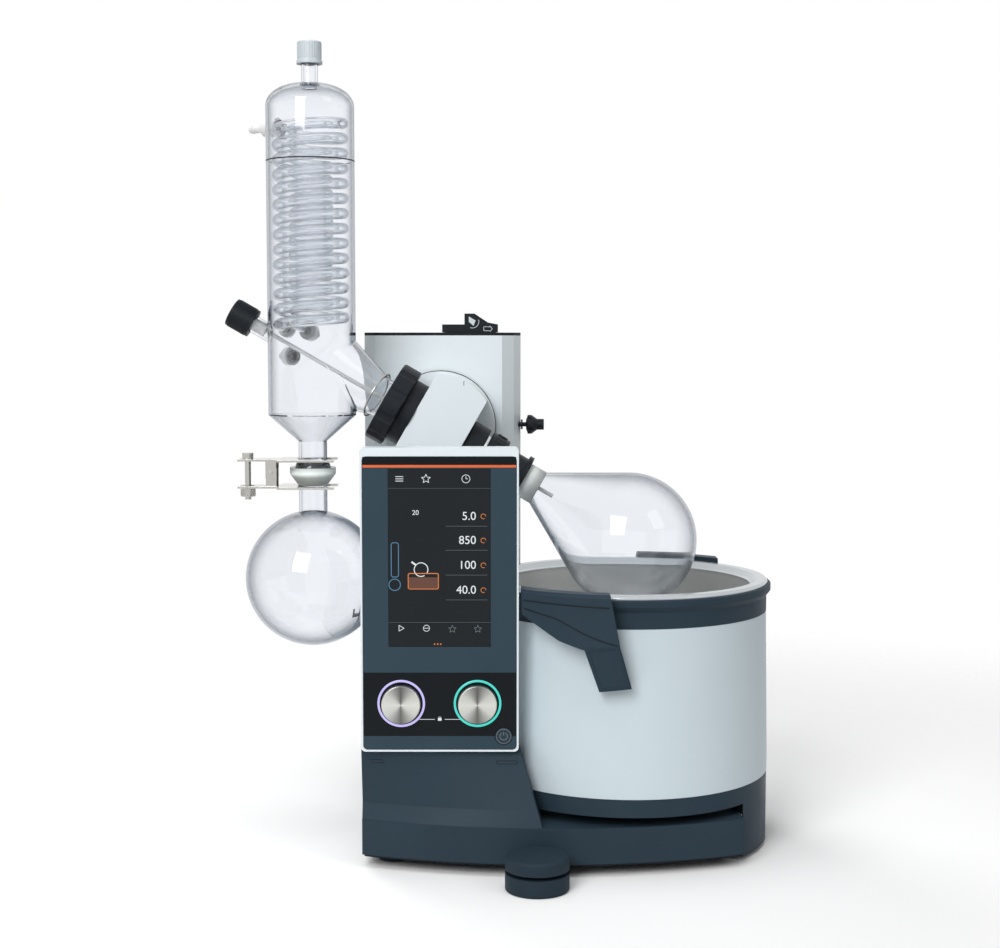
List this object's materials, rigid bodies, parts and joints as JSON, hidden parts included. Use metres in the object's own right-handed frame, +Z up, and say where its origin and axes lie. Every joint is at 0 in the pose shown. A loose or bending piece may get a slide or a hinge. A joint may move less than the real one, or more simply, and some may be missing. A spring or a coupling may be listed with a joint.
{
  "type": "rotary evaporator",
  "caption": "Bench rotary evaporator: tilting head on a lift column turns a glass flask in a round heating bath, with an upright coil condenser, receiving flask and touch panel.",
  "frame": {"origin": "middle of the footprint, on the bench", "axes": "+Z up, +X right from condenser to bath, +Y to the back"},
  "size_m": [0.5243, 0.399, 0.7642],
  "materials": {
    "slate_plastic": "satin dark slate moulding",
    "steel": "brushed",
    "rubber": "matt",
    "black_plastic": "matt black moulding",
    "alloy": "machined",
    "motor": "dark motor case",
    "white_paint": "satin white paint",
    "screen": "gloss black",
    "board": "circuit board",
    "fluoropolymer": "smooth white",
    "glass": "clear blown borosilicate",
    "nozzle": "white moulding",
    "bright_steel": "bright plated",
    "grey_plastic": "light grey moulding",
    "silver_paint": "fine silver paint",
    "knob_steel": "spun face"
  },
  "bodies": {
    "base": {"base_plate": "slate_plastic", "base_bottom": "steel", "rubber_feet": "rubber", "mains_inlet": "black_plastic", "power_supply": "alloy", "base_skirt": "slate_plastic", "bath_runners": "steel", "lift_mast": "steel", "mast_rails": "steel", "lift_motor": "motor", "panel_frame": "white_paint", "panel_fascia": "slate_plastic", "display": "screen", "panel_board": "board"},
    "front_foot": {"front_foot": "black_plastic"},
    "lift_spindle": {"lift_spindle": "steel"},
    "lift": {"column_sleeve": "white_paint", "rear_cover": "white_paint", "column_lid": "black_plastic", "lift_carriage": "alloy", "hose_hook": "black_plastic"},
    "top_slider": {"top_slider": "black_plastic"},
    "tilt_lock": {"tilt_lock": "black_plastic"},
    "head": {"head_housing": "white_paint", "tilt_journal": "steel", "drive_motor": "motor", "drive_belt": "rubber", "hub_bearings": "steel", "thread_collar": "black_plastic", "shaft_seal": "fluoropolymer", "condenser_jacket": "glass", "outer_coil": "glass", "inner_coil": "glass", "coil_links": "glass", "hose_nozzles": "nozzle", "feed_tube": "fluoropolymer", "receiving_flask": "glass", "clip_upper_jaw": "bright_steel"},
    "motor_pulley": {"motor_pulley": "alloy"},
    "union_nut": {"union_nut": "black_plastic"},
    "top_cap": {"top_cap": "grey_plastic"},
    "feed_cap": {"feed_cap": "black_plastic"},
    "clip_lower_jaw": {"clip_lower_jaw": "bright_steel"},
    "clip_nut": {"clip_nut": "bright_steel"},
    "rotor": {"drive_hub": "steel", "hub_flange": "black_plastic", "flask_clip": "black_plastic", "vapour_tube": "glass", "evaporating_flask": "glass"},
    "release_ring": {"release_ring": "black_plastic"},
    "bath": {"bath_base": "slate_plastic", "bath_shell": "silver_paint", "bath_collar": "slate_plastic", "bath_vessel": "steel", "heating_element": "steel"},
    "left_press": {"left_knob_stem": "steel"},
    "left_knob": {"left_knob": "knob_steel"},
    "right_press": {"right_knob_stem": "steel"},
    "right_knob": {"right_knob": "knob_steel"},
    "power_button": {"power_button": "slate_plastic"}
  },
  "joints": [
    {"name": "lift", "type": "slide", "parent": "base", "child": "lift", "axis": [0, 0, 1], "range_m": [0, 0.155]},
    {"name": "spindle_turn", "type": "hinge", "parent": "base", "child": "lift_spindle", "pos_m": [-0.05865, 0.158, 0], "axis": [0, 0, 1], "range_deg": [0, 2795]},
    {"name": "head_tilt", "type": "hinge", "parent": "lift", "child": "head", "pos_m": [-0.05865, 0, 0.396], "axis": [0, 1, 0], "range_deg": [-10, 10]},
    {"name": "flask_spin", "type": "hinge", "parent": "head", "child": "rotor", "pos_m": [-0.05865, 0, 0.396], "axis": [0.866, 0, -0.5], "continuous": true},
    {"name": "motor_pulley_spin", "type": "hinge", "parent": "head", "child": "motor_pulley", "pos_m": [-0.05865, 0.0657, 0.396], "axis": [0.866, 0, -0.5], "continuous": true},
    {"name": "union_nut_turn", "type": "hinge", "parent": "head", "child": "union_nut", "pos_m": [-0.05865, 0, 0.396], "axis": [0.866, 0, -0.5], "range_deg": [0, 180]},
    {"name": "release_ring_turn", "type": "hinge", "parent": "rotor", "child": "release_ring", "pos_m": [-0.05865, 0, 0.396], "axis": [0.866, 0, -0.5], "range_deg": [0, 45]},
    {"name": "top_cap_turn", "type": "hinge", "parent": "head", "child": "top_cap", "pos_m": [-0.17935, 0, 0.743], "axis": [0, 0, 1], "range_deg": [0, 360]},
    {"name": "feed_cap_turn", "type": "hinge", "parent": "head", "child": "feed_cap", "pos_m": [-0.05865, 0, 0.396], "axis": [0.866, 0, -0.5], "range_deg": [0, 360]},
    {"name": "clip_jaw_open", "type": "hinge", "parent": "head", "child": "clip_lower_jaw", "pos_m": [-0.21865, 0, 0.355], "axis": [0, 1, 0], "range_deg": [0, 8]},
    {"name": "clip_nut_turn", "type": "hinge", "parent": "head", "child": "clip_nut", "pos_m": [-0.24215, 0, 0.329], "axis": [0, 0, 1], "range_deg": [0, 360]},
    {"name": "bath_shift", "type": "slide", "parent": "base", "child": "bath", "axis": [1, 0, 0], "range_m": [0, 0.04]},
    {"name": "left_knob_press", "type": "slide", "parent": "base", "child": "left_press", "axis": [0, 1, 0], "range_m": [0, 0.001], "stiffness_N_per_m": 1500},
    {"name": "left_knob_turn", "type": "hinge", "parent": "left_press", "child": "left_knob", "pos_m": [-0.08795, 0, 0.1554], "axis": [0, 1, 0], "continuous": true},
    {"name": "right_knob_press", "type": "slide", "parent": "base", "child": "right_press", "axis": [0, 1, 0], "range_m": [0, 0.001], "stiffness_N_per_m": 1500},
    {"name": "right_knob_turn", "type": "hinge", "parent": "right_press", "child": "right_knob", "pos_m": [-0.01905, 0, 0.1554], "axis": [0, 1, 0], "continuous": true},
    {"name": "power_press", "type": "slide", "parent": "base", "child": "power_button", "axis": [0, 1, 0], "range_m": [0, 0.0008], "stiffness_N_per_m": 1500},
    {"name": "top_slider_shift", "type": "slide", "parent": "lift", "child": "top_slider", "axis": [1, 0, 0], "range_m": [0, 0.012]},
    {"name": "tilt_lock_turn", "type": "hinge", "parent": "lift", "child": "tilt_lock", "pos_m": [-0.05865, 0.11, 0.396], "axis": [1, 0, 0], "range_deg": [0, 90]},
    {"name": "front_foot_turn", "type": "hinge", "parent": "base", "child": "front_foot", "pos_m": [0.03405, -0.171, 0], "axis": [0, 0, 1], "range_deg": [-180, 180]}
  ],
  "couplings": [
    {"joint": "spindle_turn", "follows": "lift", "rad_per_m": 314.16},
    {"joint": "motor_pulley_spin", "follows": "flask_spin", "ratio": 2.625}
  ]
}
